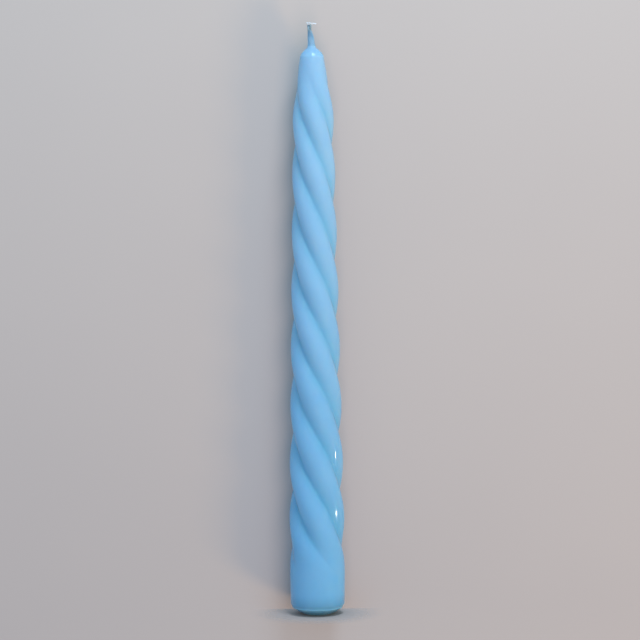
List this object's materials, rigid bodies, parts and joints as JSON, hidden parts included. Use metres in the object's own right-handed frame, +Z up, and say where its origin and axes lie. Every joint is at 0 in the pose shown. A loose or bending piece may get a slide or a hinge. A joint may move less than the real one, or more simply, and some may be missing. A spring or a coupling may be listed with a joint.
{
  "type": "twisted candle",
  "caption": "Tapering wax candle with round ridges in a left-handed twist, a plain round foot, a domed tip and a plaited wick; stands in a holder and burns.",
  "frame": {"origin": "centre of the flat bottom face of the foot", "axes": "+Z up the candle's axis to the wick; -Y is the side that the picture shows, with +X to its right"},
  "size_m": [0.0232, 0.0232, 0.2505],
  "materials": {
    "core_wax": "plain ivory wax, matte",
    "blue_wax": "pale blue dyed wax, glossy",
    "wick_cotton": "plaited cotton, waxed"
  },
  "bodies": {
    "root": {"wax_core": "core_wax", "colour_coat": "blue_wax", "wick_strand_a": "wick_cotton", "wick_strand_b": "wick_cotton", "wick_strand_c": "wick_cotton"}
  },
  "joints": []
}
